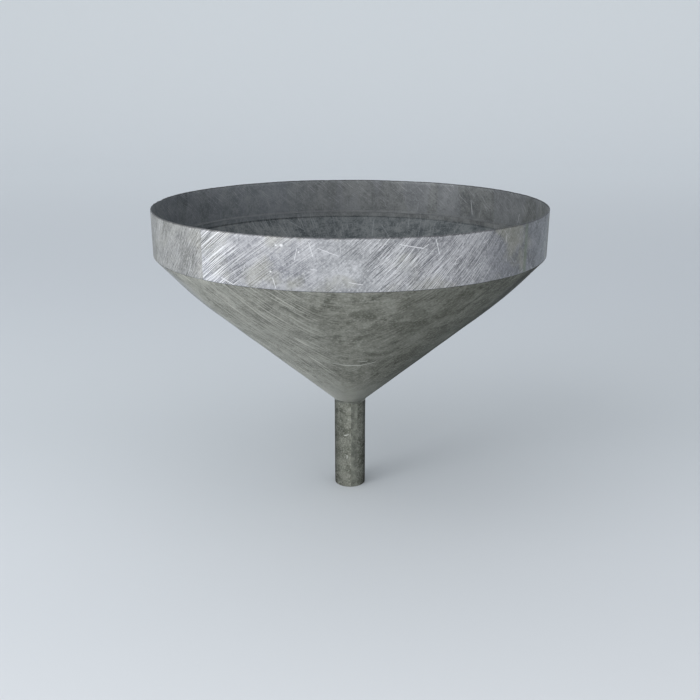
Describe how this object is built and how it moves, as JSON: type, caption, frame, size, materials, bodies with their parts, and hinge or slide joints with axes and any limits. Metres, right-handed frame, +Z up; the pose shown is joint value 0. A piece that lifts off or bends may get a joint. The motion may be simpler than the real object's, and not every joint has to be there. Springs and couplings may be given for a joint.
{
  "type": "sheet-metal funnel",
  "caption": "Wide sheet-metal funnel with an upright rim band, a shallow two-slope cone and a short straight spout, for pouring fuel or oil.",
  "frame": {"origin": "centre of the spout's lower end, on the funnel's axis", "axes": "+Z up along the funnel's axis, from the spout to the rim; the rim band's lapped seam is at azimuth 230.4 degrees, counter-clockwise from +X"},
  "size_m": [0.3, 0.3, 0.236],
  "materials": {
    "band_sheet": "bright worn galvanised sheet, cloudy, with dense fine diagonal scratches",
    "cone_sheet": "dull olive-grey galvanised sheet, cloudy, with faint streaks around the cone",
    "spout_sheet": "dark olive-grey galvanised sheet, finely mottled, with a few bright nicks",
    "solder": "satin wiped soft solder"
  },
  "bodies": {
    "root": {"rim_band": "band_sheet", "rim_lap_solder": "solder", "rim_to_cone_solder": "solder", "cone_body": "cone_sheet", "cone_seam_solder": "solder", "neck_solder": "solder", "spout_tube": "spout_sheet", "spout_seam_solder": "solder"}
  },
  "joints": []
}
